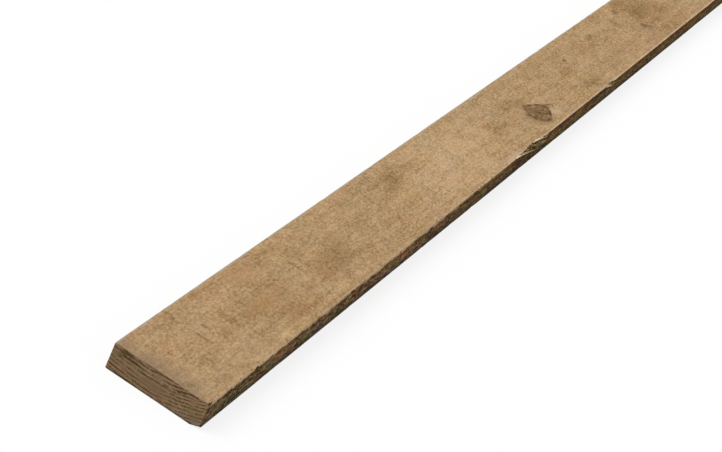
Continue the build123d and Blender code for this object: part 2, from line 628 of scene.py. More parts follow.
for word, operation in (("add", "ADD"), ("sub", "SUBTRACT"), ("mul", "MULTIPLY"), ("truediv", "DIVIDE")):
    setattr(Signal, f"__{word}__", sign(operation, False))
    setattr(Signal, f"__r{word}__", sign(operation, True))


class Wiring:
    """Adds nodes to one node tree and links what is passed to them."""

    def __init__(self, tree):
        self.tree = tree

    def add(self, kind, **settings):
        """A new node with its settings."""
        node = self.tree.nodes.new(kind)
        for name, value in settings.items():
            setattr(node, name, value)
        return node

    def feed(self, socket, value):
        """Links a signal to a socket, or writes a plain value in it."""
        if isinstance(value, Signal):
            self.tree.links.new(value.socket, socket)
        else:
            socket.default_value = (*value, 1) if socket.type == "RGBA" else value

    def run(self, node, inputs, output=0):
        """Feeds a node's first inputs in their order and returns one output as a signal."""
        for socket, value in zip(node.inputs, inputs):
            self.feed(socket, value)
        return Signal(self, node.outputs[output])

    def math(self, operation, *values, clamp=False):
        return self.run(self.add("ShaderNodeMath", operation=operation, use_clamp=clamp), values)

    def clamped(self, value):
        """A value held between 0 and 1."""
        return self.math("ADD", value, 0.0, clamp=True)

    def vector(self, operation, *values):
        output = "Value" if operation == "LENGTH" else "Vector"
        return self.run(self.add("ShaderNodeVectorMath", operation=operation), values, output)

    def split(self, vector):
        node = self.add("ShaderNodeSeparateXYZ")
        self.feed(node.inputs[0], vector)
        return [Signal(self, socket) for socket in node.outputs]

    def join(self, x, y, z):
        return self.run(self.add("ShaderNodeCombineXYZ"), (x, y, z))

    def band(self, value, low, high):
        """Rises smoothly from 0 at low to 1 at high, or falls if low is the larger."""
        node = self.add("ShaderNodeMapRange", interpolation_type="SMOOTHSTEP")
        return self.run(node, (value, low, high))

    def mix(self, share, a, b, blend="MIX"):
        """Blends two colours."""
        node = self.add("ShaderNodeMix", data_type="RGBA", blend_type=blend)
        for name, value in (("Factor_Float", share), ("A_Color", a), ("B_Color", b)):
            self.feed(next(socket for socket in node.inputs if socket.identifier == name), value)
        return Signal(self, next(s for s in node.outputs if s.identifier == "Result_Color"))

    def noise(self, place, size, detail=2.0, rough=0.5, shift=0.0):
        """Noise from 0 to 1 whose features are size millimetres along, across and up."""
        scaled = self.vector("DIVIDE", place, size)
        moved = self.vector("ADD", scaled, (shift, shift * 0.7, shift * 1.3))
        node = self.add("ShaderNodeTexNoise")
        for name, value in (("Vector", moved), ("Scale", 1.0), ("Detail", detail), ("Roughness", rough)):
            self.feed(node.inputs[name], value)
        return Signal(self, node.outputs["Fac"])

    def use(self, name, **inputs):
        """Places a node group and feeds its inputs; returns its output, or several by name."""
        node = self.add("ShaderNodeGroup", node_tree=bpy.data.node_groups[name])
        for key, value in inputs.items():
            self.feed(node.inputs[key.replace("_", " ")], value)
        found = {socket.name: Signal(self, socket) for socket in node.outputs}
        return found if len(found) > 1 else found.popitem()[1]


# %% [markdown]
# A node group is made once and placed in every finish that needs it. Its inputs are named with their
# defaults, its outputs with the signals that feed them, and the kind of each socket follows.

# %% Groups of nodes
ANYWHERE = (0, 0, 0)


def name_socket(tree, key, in_out, is_vector):
    """Gives a group one more input or output."""
    kind = "NodeSocketVector" if is_vector else "NodeSocketFloat"
    return tree.interface.new_socket(key.replace("_", " "), in_out=in_out, socket_type=kind)


def new_group(name, **inputs):
    """Starts a node group; returns its wiring and the signal of each input."""
    tree = bpy.data.node_groups.new(name, "ShaderNodeTree")
    for key, default in inputs.items():
        name_socket(tree, key, "INPUT", isinstance(default, tuple)).default_value = default
    wires = Wiring(tree)
    sockets = wires.add("NodeGroupInput").outputs
    return wires, *(Signal(wires, socket) for _, socket in zip(inputs, sockets))


def give(wires, **outputs):
    """Ends a node group: feeds each named output."""
    for key, signal in outputs.items():
        name_socket(wires.tree, key, "OUTPUT", signal.socket.type == "VECTOR")
    for socket, signal in zip(wires.add("NodeGroupOutput").inputs, outputs.values()):
        wires.feed(socket, signal)
    print("group", wires.tree.name, "gives", *outputs)


def board_place(wires):
    """The place on the board in millimetres: along from the front end, across, and up."""
    here = Signal(wires, wires.add("ShaderNodeTexCoord").outputs["Object"])
    return wires.vector("MULTIPLY_ADD", here, (1 / MM,) * 3, (-FRONT / MM, 0, 0))


# %% [markdown]
# A knot is a branch that the trunk grew round: a cone from the pith outwards, so it shows on both
# faces, a little larger and further along on the underside. Its outline is a rounded almond. The
# group measures a distance from the knot's eye that is 1 on the outline: the largest of several
# slanting distances, softened where they meet.

# %% Node group: distance from the knot
KNOT_EYE = (884.0, -21.7)
KNOT_DRIFT = (0.93, -0.28)
KNOT_GROWTH = 0.0035
KNOT_SIDES = ((180, 22.5), (132, 21.0), (67, 17.4), (0, 30), (-57, 17.2), (-95, 17.2), (-136, 20))
KNOT_SOFTNESS = 0.32
KNOT_WOBBLE = 0.22

wires, place = new_group("knot distance", Place=ANYWHERE)
x, y, z = wires.split(place)
depth = TOP / MM - z
dx = x - (depth * KNOT_DRIFT[0] + KNOT_EYE[0])
dy = y - (depth * KNOT_DRIFT[1] + KNOT_EYE[1])
farthest = None
for angle, reach in KNOT_SIDES:
    turn = math.radians(angle)
    slant = dx * (math.cos(turn) / reach) + dy * (math.sin(turn) / reach)
    farthest = slant if farthest is None else wires.math("SMOOTH_MAX", farthest, slant, KNOT_SOFTNESS)
wobbled = farthest + (wires.noise(place, (7, 7, 20)) - 0.5) * KNOT_WOBBLE
distance = wobbled / (depth * KNOT_GROWTH + 1.0)
give(wires, Distance=wires.math("MAXIMUM", distance, 0.001), Side=dy)

# %% [markdown]
# The fibres part before the knot and close again behind it, as water flows round a stone. The group
# returns the place that the fibres came from, by drawing each point towards the knot's middle line
# the closer it is. Rings and fibres are read at this place, so they go round the knot together.

# %% Node group: grain flow
FLOW_CLOSES = 2.2
GRAIN_SWAY = 6.0

wires, place = new_group("grain flow", Place=ANYWHERE)
knot = wires.use("knot distance", Place=place)
outside = wires.math("MAXIMUM", knot["Distance"], 1.0)
parted = knot["Side"] / wires.math("POWER", outside, FLOW_CLOSES)
sway = (wires.noise(place, (220, 60, 60), 1, shift=3.0) - 0.5) * GRAIN_SWAY
give(wires, Flow=wires.vector("ADD", place, wires.join(0.0, sway - parted, 0.0)))

# %% [markdown]
# Each year a tree adds a ring of pale early wood that ends in a thin dark band of late wood. The
# rings are tubes round the pith, so they are worked out in the solid: the distance from the pith's
# line, divided by the width of a ring. The ends show arcs and the faces long faint flames. The pith
# lies above this board, so the arcs hang down like smiles.

# %% Node group: growth rings
PITH = (17.0, 168.0)
PITH_SWAY = 26.0
PITH_RISE = 0.006
RING_WIDTH = 4.0

wires, flow, ring_width, wobble = new_group(
    "growth rings", Flow=ANYWHERE, Ring_Width=RING_WIDTH, Wobble=1.4)
x, y, z = wires.split(flow)
lean = wires.noise(wires.join(x, 0.0, 0.0), (420, 1, 1), 1, shift=1.7) - 0.5
from_pith = wires.join(0.0, y - (lean * PITH_SWAY + PITH[0]), z - (x * PITH_RISE + PITH[1]))
ripple = wires.noise(flow, (120, 16, 16), shift=8.0) - 0.5
turns = (wires.vector("LENGTH", from_pith) + ripple * wobble) / ring_width
part = wires.math("FRACT", turns)
give(wires, Late_Wood=wires.band(part, 0.35, 0.84) * wires.band(part, 1.0, 0.93))

# %% [markdown]
# Softwood is a bundle of hollow fibres. On a sawn face they show as fine streaks, and on an end as
# dots. One stretched noise gives both, because it is read in the solid: long along the grain and
# narrow across it.

# %% Node group: fibres
wires, flow = new_group("fibres", Flow=ANYWHERE)
fine = wires.noise(flow, (26, 0.55, 0.55), 3, 0.6)
broad = wires.noise(flow, (90, 2.4, 2.4), shift=5.0)
give(wires, Streak=(fine + broad) * 0.5)

# %% [markdown]
# A coarse saw tears as much as it cuts. It leaves a nap of short raised fibres, which mottles the
# surface at the scale of a few millimetres, and faint lines straight across the board, one for each
# bite of the teeth.

# %% Node group: saw nap
SAW_BOW = 9.0

wires, place = new_group("saw nap", Place=ANYWHERE)
coarse = wires.noise(place, (4.2, 2.6, 2.6), 3, 0.8)
fine = wires.noise(place, (1.2, 0.7, 0.7), 2, 0.6, 11.0)
bow = wires.noise(place, (60, 40, 40), 1, shift=2.0) * SAW_BOW
bent = wires.vector("ADD", place, wires.join(bow, 0.0, 0.0))
lines = wires.band(wires.noise(bent, (1.3, 15, 15), 1, 0.4, 7.0), 0.54, 0.72)
where = wires.band(wires.noise(place, (45, 26, 26), shift=13.0), 0.38, 0.60)
give(wires, Nap=coarse * 0.65 + fine * 0.35, Cross_Lines=lines * where)

# %% [markdown]
# Weather works at every scale at once, from a stack mark to a speck. A noise whose octaves are all
# about as strong gives that evenly soiled look, where an ordinary noise would give clouds. One such
# noise drives light and dark. Two more move the hue a little.

# %% Node group: mottle
wires, place = new_group("mottle", Place=ANYWHERE)
give(
    wires,
    Light=wires.noise(place, (34, 21, 21), 5, 0.95, 20.0),
    Warm=wires.noise(place, (52, 30, 30), 5, 0.85, 31.0),
    Green=wires.noise(place, (40, 26, 26), 5, 0.85, 37.0),
)

# %% [markdown]
# Each blotch of rain, resin or mud is placed with one small group: a centre, a reach in
# millimetres and a turn give a soft oval, and a noise pushes its rim in and out.

# %% Node group: blotch
wires, place, centre, reach, turn, ragged = new_group(
    "blotch", Place=ANYWHERE, Centre=ANYWHERE, Reach=(10, 10, 9), Turn=0.0, Ragged=0.9)
turned = wires.add("ShaderNodeVectorRotate", rotation_type="Z_AXIS", invert=True)
wires.feed(turned.inputs["Vector"], wires.vector("SUBTRACT", place, centre))
wires.feed(turned.inputs["Angle"], turn)
distance = wires.vector("LENGTH", wires.vector("DIVIDE", Signal(wires, turned.outputs[0]), reach))
push = (wires.noise(place, (16, 9, 9), 3, 0.6, 4.0) - 0.5) * ragged
give(wires, Mask=wires.band(distance + push, 1.15, 0.3))

# %% [markdown]
# Rubbed arrises lose their dirt and turn pale, in broken stretches, and the pale also stands in as
# painted highlight along the arris. The group finds how close a place is to the nearest long arris,
# and lets a noise along the board break the line.

# %% Node group: worn and highlit arris
wires, place, reach = new_group("rubbed arris", Place=ANYWHERE, Reach=2.2)
x, y, z = wires.split(place)
to_side = WIDTH / 2 / MM - wires.math("ABSOLUTE", y)
to_face = THICK / 2 / MM - wires.math("ABSOLUTE", z - THICK / 2 / MM)
close = wires.band((to_side + to_face) / reach, 1.0, 0.35)
broken = wires.band(wires.noise(place, (13, 5, 5), 4, 0.8, 6.0), 0.28, 0.50)
give(wires, Rub=close * broken)

# %% [markdown]
# The sawn faces are the board's main finish: a dry tan with low contrast, built the way a painter
# glazes. Shades are wide and only move the mix of a pale and a deep tan, so the grain shows through.
# Blotches are paint of their own, laid over one by one, and the knot comes last.

# %% Shades and blotches on the top face
DARK_BROWN = (0.145, 0.078, 0.030)
RED_BROWN = (0.28, 0.14, 0.072)
ORANGE_TAN = (0.48, 0.275, 0.13)
GREY_TAN = (0.27, 0.185, 0.118)
YELLOW_TAN = (0.50, 0.40, 0.16)
PALE_PINK = (0.60, 0.42, 0.29)
SHADES = (
    (0.27, (130, 6), (8, 18)), (0.24, (110, -6), (13, 8)), (0.16, (190, -4), (60, 40)),
    (0.13, (300, -18), (70, 20)), (0.10, (345, -8), (40, 14)), (0.17, (545, 28), (76, 15)),
    (0.20, (523, 15), (28, 9)), (-0.20, (640, -4), (140, 70)), (0.26, (777, 0), (22, 10)),
    (0.22, (850, 14), (24, 11)), (0.22, (1050, -31), (32, 10)), (0.20, (1040, 2), (26, 9)),
    (0.18, (1185, 21), (18, 8)), (0.20, (1235, 16), (12, 7)), (0.26, (1368, 12), (32, 20)),
    (0.22, (1345, 34), (38, 13)), (0.16, (1390, 0), (90, 60)), (0.20, (1430, -5), (26, 11)),
    (0.24, (1560, 18), (64, 24)), (0.24, (1700, -14), (46, 18)),
)
BLOTCHES = (
    (GREY_TAN, (0.70, (-8, 0), (36, 90))),
    (DARK_BROWN, (0.60, (97, 13), (2.6, 4)), (0.55, (7.5, -24.8), (1.6, 2.6)),
     (0.60, (11.0, -26.4), (1.5, 3.4)), (0.70, (81, 36), (3.6, 1.3), 20),
     (0.40, (73, 33), (9, 1.0), 25), (0.45, (81, 5), (2.2, 14))),
    (RED_BROWN, (0.20, (312, -16), (60, 20))),
    (ORANGE_TAN, (0.45, (205, 37), (30, 16)), (0.45, (185, -3), (36, 13))),
    (RED_BROWN, (0.30, (205, -30), (24, 12))),
    (DARK_BROWN, (0.42, (270, 6), (2.6, 15)), (0.30, (660, 4), (3, 16))),
    (PALE_PINK, (0.65, (738, -47), (34, 7))),
    (YELLOW_TAN, (0.85, (876, -43), (12, 3.6))),
    (PALE_PINK, (0.30, (914, -31), (16, 8)), (0.35, (925, -8), (18, 6), -20)),
    (DARK_BROWN, (0.85, (917, -19.4), (12, 2.0), -20), (0.60, (921, -25.2), (8, 1.6), 22),
     (0.95, (1069, 16), (5, 3.4)), (0.55, (1317, 30), (9, 6)), (0.42, (1282, 20), (4, 13)),
     (0.62, (1332, -13), (9, 7)), (0.55, (1338, -20), (7, 6))),
)
BLOTCH_DEPTH = 9.0


def on_top(wires, place, centre, reach, turn=0, ragged=0.9):
    """The mask of one blotch on the top face; its turn is in degrees."""
    return wires.use("blotch", Place=place, Centre=(*centre, TOP / MM), Reach=(*reach, BLOTCH_DEPTH),
                     Turn=math.radians(turn), Ragged=ragged)


def add_shades(wires, place, level):
    """Adds the wide shades to a level between pale and deep."""
    for strength, centre, reach in SHADES:
        level = level + on_top(wires, place, centre, reach) * strength
    return level


def add_blotches(wires, place, colour, blotches, ragged):
    """Glazes the listed blotches over a colour."""
    for stain, *spots in blotches:
        for strength, *shape in spots:
            colour = wires.mix(on_top(wires, place, *shape, ragged=ragged) * strength, colour, stain)
    return colour


print(len(SHADES), "shades, and blotches in", len(BLOTCHES), "turns of the brush")

# %% [markdown]
# The knot is glazed over the finished colour. Its inside is darker, brown before the eye and olive
# behind it, and ringed round the eye. The rim isn't a drawn line: it is dark where bark is left, and
# soft elsewhere. The wood before the knot is stained by it, and the wood behind it is clean.

# %% The knot's colour
KNOT_WOOD = (0.206, 0.116, 0.050)
KNOT_OLIVE = (0.204, 0.127, 0.053)
KNOT_BARK = (0.088, 0.043, 0.013)
KNOT_RED = (0.24, 0.124, 0.058)
KNOT_PALE = (0.385, 0.262, 0.142)
KNOT_SPOTS = (
    (KNOT_RED, (0.45, (874, -6), (10, 6), 30)),
    (KNOT_BARK, (0.55, (877, -1.5), (4, 1.6)), (0.45, (870, -6.3), (3.6, 1.5), 20),
     (0.75, (861.5, -16), (3.0, 4.0)), (0.80, (863.5, -23.5), (3.0, 5.0)),
     (0.60, (889, -5.8), (7, 2.8), -18), (0.95, (901, -10.8), (6.5, 2.0), -28),
     (0.65, (907, -19.5), (3.6, 5.5)), (0.90, (899, -30.6), (9, 2.6), 30),
     (0.65, (881, -36.8), (9, 2.6), -6), (0.70, (893, -28.4), (7, 1.7), -22),
     (0.55, (871.5, -22.8), (5.5, 1.7), 25), (0.70, (896.5, -20.8), (4.2, 2.3))),
    (KNOT_PALE, (0.65, (891.7, -10.2), (5, 2.2)), (0.80, (902, -22.4), (2.8, 2.0)),
     (0.60, (889.5, -31.8), (4.8, 1.8), -20), (0.55, (878, -30.4), (4.5, 1.8)),
     (0.50, (869, -18.4), (3.6, 2.4))),
    (KNOT_OLIVE, (0.70, (880.6, -41.3), (3.4, 1.6))),
    (KNOT_BARK, (0.98, (884, -21.7), (4.4, 2.7))),
)


def add_knot(wires, place, colour):
    """Paints the knot over a colour and returns the colour and the knot's mask."""
    distance = wires.use("knot distance", Place=place)["Distance"]
    inside = wires.band(distance, 1.12, 0.90)
    along = wires.split(place)[0]
    wood = wires.mix(wires.band(along, KNOT_EYE[0], KNOT_EYE[0] + 14), KNOT_WOOD, KNOT_OLIVE)
    patch = wires.noise(place, (6, 4.5, 9), 3, 0.75, 9.0)
    shade = patch + wires.math("SINE", distance * 24.0) * 0.06
    wood = wires.mix(wires.band(shade, 0.48, 0.66) * 0.5, wood, KNOT_BARK)
    wood = wires.mix(wires.band(shade, 0.46, 0.32) * 0.5, wood, KNOT_PALE)
    halo = wires.band(distance, 1.8, 1.0) * wires.band(along, 905.0, 865.0)
    colour = wires.mix(halo * 0.36, colour, KNOT_WOOD)
    colour = wires.mix(inside * 0.88, colour, wood)
    return add_blotches(wires, place, colour, KNOT_SPOTS, 0.4), inside


print("knot painted in", len(KNOT_SPOTS), "turns")

# %% [markdown]
# Every finish ends in a Principled BSDF, a roughness that follows the surface, and a Bump node whose
# height is in millimetres. Dry wood hardly reflects, and that number, being the same all over, is
# set on the shader itself.

# %% How a finish begins and ends
FAINT_REFLECTION = 0.08


def open_material(name):
    """Switches a finish to nodes and returns its wiring and the place on the board."""
    finishes[name].use_nodes = True
    wires = Wiring(finishes[name].node_tree)
    return wires, board_place(wires)


def close_material(wires, colour, roughness, height):
    """Feeds the shader with a colour, a roughness and a relief in millimetres."""
    shader = wires.tree.nodes["Principled BSDF"].inputs
    bump = wires.add("ShaderNodeBump")
    for socket, value in (
        (bump.inputs["Strength"], 1.0), (bump.inputs["Distance"], MM), (bump.inputs["Height"], height),
        (shader["Specular IOR Level"], FAINT_REFLECTION), (shader["Base Color"], colour),
        (shader["Roughness"], roughness), (shader["Normal"], Signal(wires, bump.outputs["Normal"])),
    ):
        wires.feed(socket, value)
    print("finish with", len(wires.tree.nodes), "nodes")


# %% [markdown]
# The faces and the edges are both sawn, so they share a base: colour, nap, cross lines, streaks and
# late wood. The relief adds the same nap, lines and fibres in tenths of a millimetre, so that colour
# and relief agree. Further along, the nap is rougher.

# %% The sawn base
WARM_TINT = (1.08, 1.0, 0.82)
COOL_TINT = (0.93, 1.0, 1.20)
PINK_TINT = (1.07, 0.93, 1.0)
GREEN_TINT = (0.93, 1.06, 0.98)
ROUGHER = 0.22


def tinted(wires, colour, mottle, strength):
    """Moves a colour a little between warm and cool, and between pink and green."""
    for hue, low, high in (("Warm", COOL_TINT, WARM_TINT), ("Green", PINK_TINT, GREEN_TINT)):
        share = wires.clamped((mottle[hue] - 0.5) * strength + 0.5)
        colour = wires.mix(1.0, colour, wires.mix(share, low, high), "MULTIPLY")
    return colour


def sawn_wood(wires, place, colours, weather, nap, tint, shade):
    """The colour of a sawn surface, its nap and its relief in millimetres."""
    flow = wires.use("grain flow", Place=place)
    late = wires.use("growth rings", Flow=flow)
    streak = wires.use("fibres", Flow=flow)
    saw = wires.use("saw nap", Place=place)
    mottle = wires.use("mottle", Place=place)
    coarseness = wires.band(wires.split(place)[0], 250.0, 700.0) * (ROUGHER * nap) + nap
    depth = shade + (mottle["Light"] - 0.5) * weather + (saw["Nap"] - 0.5) * coarseness
    depth = depth + (streak - 0.5) * (0.24 * nap) + late * 0.08 + saw["Cross Lines"] * 0.30
    colour = tinted(wires, wires.mix(wires.clamped(depth), *colours), mottle, tint)
    height = saw["Nap"] * 0.9 + streak * 0.25 - saw["Cross Lines"] * 0.12 + late * 0.04
    return colour, saw["Nap"], height


print("sawn base ready")

# %% [markdown]
# On the faces come the shades, blotches and knot, then the arrises: the right one rubbed pale, partly
# as painted highlight, and darkened with painted shade in ragged bites where it is chipped, the left
# one greyed.

# %% The sawn faces
TANS = ((0.625, 0.428, 0.236), (0.248, 0.141, 0.051))
RUBBED_AND_HIGHLIT = (0.68, 0.50, 0.335)
GREY_RIM = (0.42, 0.38, 0.31)
CHIP_SHADE = (0.11, 0.055, 0.02)
CHIP_SHADE_FADE = 0.045

wires, place = open_material("sawn_face")
along, across, up = wires.split(place)
shade = add_shades(wires, place, 0.46)
colour, nap, height = sawn_wood(wires, place, TANS, 1.35, 2.8, 1.3, shade)
colour = add_blotches(wires, place, colour, BLOTCHES, 0.9)
colour, knot = add_knot(wires, place, colour)
farther = wires.band(along, 450.0, 900.0)
# the right upper arris: partly rubbed pale wood, partly painted highlight
wear_and_highlight = wires.use("rubbed arris", Place=place, Reach=farther * 1.4 + 2.2)
rubbed_and_highlit = wear_and_highlight * wires.band(across, 10.0, -10.0) * (farther * 0.30 + 0.5)
colour = wires.mix(rubbed_and_highlit, colour, RUBBED_AND_HIGHLIT)
# painted shade in ragged bites where the right upper arris is chipped
ragged = wires.noise(place, (7, 14, 14), 3, 0.8, 71.0)
chip_shade = wires.band(ragged - (across + WIDTH / 2 / MM) * CHIP_SHADE_FADE, 0.52, 0.58)
colour = wires.mix(chip_shade * 0.65, colour, CHIP_SHADE)
patches = wires.band(wires.noise(place, (18, 6, 6), 3, 0.8, 67.0), 0.36, 0.58)
colour = wires.mix(wires.band(across, 46.6, 49.0) * patches * 0.8, colour, GREY_RIM)
close_material(wires, colour, nap * 0.2 + 0.72, height + knot * 0.15)

# %% [markdown]
# The long edges have lain in the dirt. They are the same wood, darker, and mottled brown, olive and
# grey in blots of a centimetre. A cast multiplies the colour, so the hue turns and the grain stays.
# Casts also paint shade in a band below the right upper arris and in a patch below the tears.
# Towards the lower arris they darken, partly with earth and partly as painted shade, and the nearer
# part of the right upper arris is rubbed pale in tongues, partly as painted highlight. The left edge,
# which lay against other boards, is calmer.

# %% The sawn edges
EDGE_BROWNS = ((0.60, 0.395, 0.170), (0.030, 0.011, 0.001))
EDGE_STRAW = (0.74, 0.54, 0.29)
OLIVE_CAST = (0.90, 1.08, 0.52)
RED_CAST = (1.17, 0.83, 0.78)
COOL_CAST = (0.94, 1.00, 1.60)
SHADED_CAST = (0.76, 0.58, 0.32)
FAR_CAST = (0.78, 0.71, 0.60)
EARTH_AND_SHADE_CAST = (0.52, 0.57, 0.68)
TEAR_SHADE_CAST = (0.74, 0.64, 0.56)
RUBBED_EDGE_AND_HIGHLIT = (0.98, 0.71, 0.42)
EDGE_PLAIN = (0.240, 0.150, 0.068)
PLAINNESS = 0.62
CALM = 0.25
TONGUE_FADE = 0.05

wires, place = open_material("sawn_edge")
along, across, up = wires.split(place)
farther = wires.band(along, 250.0, 700.0)
on_right = wires.band(across, 10.0, -10.0)
blots = wires.noise(place, (12, 5, 4.5), 4, 0.8, 40.0)
shade = (blots - 0.5) * 6.0 + 0.63
colour, nap, height = sawn_wood(wires, place, EDGE_BROWNS, 3.2, 5.0, 2.5, shade)
straw = wires.band(wires.noise(place, (10, 2.4, 2.4), 3, 0.7, 42.0), 0.57, 0.65)
colour = wires.mix(straw * 0.75, colour, EDGE_STRAW)
hue = wires.noise(place, (24, 10, 10), 3, 0.7, 44.0)
cool = wires.noise(place, (28, 12, 12), 3, 0.7, 47.0)
arris_shade_reach = wires.math("MAXIMUM", wires.band(up, 27.0, 25.0), farther)
# painted shade on the side below the tears, where the torn lips would shade it
shade_under_tear = wires.use("blotch", Place=place, Centre=(772, RIGHT / MM, 12), Reach=(62, 20, 17))
for share, cast in (
    (wires.band(hue, 0.51, 0.59), OLIVE_CAST),
    (wires.band(hue, 0.48, 0.40), RED_CAST),
    (wires.band(cool, 0.50, 0.60) * wires.band(along, 1100.0, 400.0), COOL_CAST),
    # painted shade in a band on the side below the right upper arris
    (wires.band(up, 17.5, 22.5) * arris_shade_reach, SHADED_CAST),
    (farther, FAR_CAST),
    # darker towards the lower arris: partly earth, partly painted shade
    (wires.band(up, 15.0, 3.0), EARTH_AND_SHADE_CAST),
    # painted shade below the tears
    (shade_under_tear, TEAR_SHADE_CAST),
):
    colour = wires.mix(share * (on_right * (1 - CALM) + CALM), colour, cast, "MULTIPLY")
colour = wires.mix((1.0 - on_right) * PLAINNESS, colour, EDGE_PLAIN)
# pale tongues below the right upper arris: partly rubbed wood, partly painted highlight
ragged = wires.noise(place, (9, 14, 14), 3, 0.8, 73.0)
tongues = wires.band(ragged - (TOP / MM - up) * TONGUE_FADE, 0.31, 0.41)
colour = wires.mix(tongues * wires.band(along, 950.0, 250.0) * on_right, colour, RUBBED_EDGE_AND_HIGHLIT)
close_material(wires, colour, nap * 0.2 + 0.74, height)

# %% [markdown]
# End grain drinks dirt and light, so it is darker than the faces, and it shows the rings best: wide
# on the left, closer on the right, broken in places, with one plain patch low in the middle. The
# crosscut leaves fine scratches that slant over the rings. A dark line runs along the foot.

# %% The end grain
END_PALE = (0.405, 0.268, 0.148)
END_DEEP = (0.080, 0.040, 0.013)
END_DARK = (0.080, 0.040, 0.012)
END_OLIVE = (0.19, 0.155, 0.068)
END_RED = (0.30, 0.155, 0.10)
END_GREY = (0.23, 0.205, 0.175)
FOOT_DARK = (0.060, 0.045, 0.032)
END_BLOTCHES = (
    (END_OLIVE, (0.40, (46, 16), (6, 10)), (0.40, (-40, 10), (12, 8))),
    (END_RED, (0.55, (34, 12), (9, 4)), (0.50, (35, 4.5), (7, 2.2)), (0.50, (-37, 21), (6, 3.5)),
     (0.45, (-2, 4), (9, 2.6))),
    (END_GREY, (0.75, (-30, 3.4), (5, 2.2)), (0.85, (-46, 3), (6, 3.2))),
    (END_DARK, (0.85, (36, 24.4), (17, 1.6)), (0.80, (33, 20.6), (18, 1.1)),
     (0.70, (36, 6.4), (16, 1.0)), (0.50, (-2, 17.4), (12, 1.2)), (0.70, (2, 27.2), (18, 1.1)),
     (0.80, (-16, 24.4), (3.6, 1.4)), (0.80, (-20.5, 21.2), (3.4, 1.4)),
     (0.70, (-25, 23.4), (3.8, 1.4)), (0.65, (-35, 26.2), (9, 1.2)), (0.60, (30, 1.4), (22, 1.4))),
)
PLAIN_DEPTH = 0.42
RING_STRENGTH = 0.88
STAIN_DEPTH = 14


def ring_arcs(wires, flow, across):
    """Late wood on the end: wide wobbly rings that pass into closer ones to the right."""
    wide = wires.use("growth rings", Flow=flow, Wobble=3.4)
    close = wires.use("growth rings", Flow=flow, Wobble=2.6, Ring_Width=RING_WIDTH * 0.8)
    return wide + (close - wide) * wires.band(across, 4.0, -26.0)


wires, place = open_material("end_grain")
x, y, z = wires.split(place)
flow = wires.use("grain flow", Place=place)
streak = wires.use("fibres", Flow=flow)
late = ring_arcs(wires, flow, y)
scratches = wires.noise(wires.join(x, z * 0.5 + y, z - y * 0.5), (9, 9, 0.8), 2, 0.6, 50.0)
weather = wires.noise(place, (20, 10, 6), 4, 0.8, 52.0)
hue = wires.noise(place, (14, 9, 5), 3, 0.6, 55.0)
broken = wires.noise(place, (30, 9, 4), 3, 0.8, 58.0)
depth = (weather - 0.5) * 0.8 + (streak - 0.5) * 1.5 + (scratches - 0.5) * 0.9 + 0.18
depth = wires.clamped(depth + late * wires.band(broken, 0.36, 0.58) * RING_STRENGTH)
plain = wires.use("blotch", Place=place, Centre=(0, 4, 11), Reach=(STAIN_DEPTH, 22, 6))
colour = wires.mix(depth + (PLAIN_DEPTH - depth) * plain, END_PALE, END_DEEP)
colour = wires.mix(wires.band(hue, 0.53, 0.66) * 0.35, colour, END_OLIVE)
colour = wires.mix(wires.band(hue, 0.47, 0.34) * 0.35, colour, END_RED)
for stain, *spots in END_BLOTCHES:
    for strength, centre, reach in spots:
        mask = wires.use("blotch", Place=place, Centre=(0, *centre), Reach=(STAIN_DEPTH, *reach))
        colour = wires.mix(mask * strength, colour, stain)
# darker along the foot of the end
foot = wires.band(z, 3.5, 0.5) * wires.band(broken, 0.35, 0.55)
colour = wires.mix(foot * 0.8, colour, FOOT_DARK)
close_material(wires, colour, 0.85, streak * 0.35 + scratches * 0.25 + late * 0.14)

# %% [markdown]
# Torn wood breaks along its fibres, so it is all long bright and dark streaks, with dirt and algae in
# its hollows, and the darkest streaks are painted shade in the hollows. The shreds that stand up from
# it are rubbed clean and paler, their pale partly painted highlight. The cracks and slits are finished
# near black, as painted shade.

# %% The torn grain and the shreds
SLIVER = (0.80, 0.62, 0.36)
HOLLOW_SHADE = (0.030, 0.014, 0.003)


def torn_wood(name, pale, deep, dirt_and_shade):
    """A finish of split fibres; dirt_and_shade is how much dirt and painted shade its hollows hold."""
    wires, place = open_material(name)
    streak = wires.use("fibres", Flow=wires.use("grain flow", Place=place))
    weather = wires.noise(place, (9, 3.5, 3.5), 4, 0.8, 60.0)
    algae = wires.noise(place, (13, 6, 6), 3, 0.8, 63.0)
    slivers = wires.noise(place, (9, 2.0, 2.0), shift=66.0)
    depth = wires.clamped((streak - 0.5) * 2.6 + (weather - 0.5) * 4.0 + 0.45)
    colour = wires.mix(depth, pale, deep)
    colour = wires.mix(wires.band(algae, 0.46, 0.56) * (0.5 * dirt_and_shade), colour, OLIVE_CAST, "MULTIPLY")
    colour = wires.mix(wires.band(slivers, 0.55, 0.61) * (0.8 * dirt_and_shade), colour, SLIVER)
    # painted shade in the hollows between the split fibres
    colour = wires.mix(wires.band(slivers, 0.48, 0.42) * (0.95 * dirt_and_shade), colour, HOLLOW_SHADE)
    close_material(wires, colour, 0.8, streak * 0.8)


torn_wood("torn_grain", (0.48, 0.32, 0.130), (0.055, 0.028, 0.005), 1.0)
# pale shreds: partly fresh wood, partly painted highlight
torn_wood("fresh_split", (0.99, 0.84, 0.62), (0.86, 0.64, 0.42), 0.0)
# near black: painted shade inside the crack and slits
torn_wood("dark_gap", (0.05, 0.03, 0.012), (0.006, 0.003, 0.001), 0.0)

# %% [markdown]
# The stage is plain: a pale floor, a soft sky of even strength and one broad soft sun from the left.
# The levels add up to one on the top of the board, so a colour there renders about as it is written.
# The camera and mirror rays see a white floor and a white sky, which costs the object no extra light.

# %% The floor
WHITE = (1, 1, 1)
FLOOR_SIZE = 12.0
FLOOR_BOUNCE = (0.25, 0.245, 0.235)
SHADOW_SHARE = 0.17


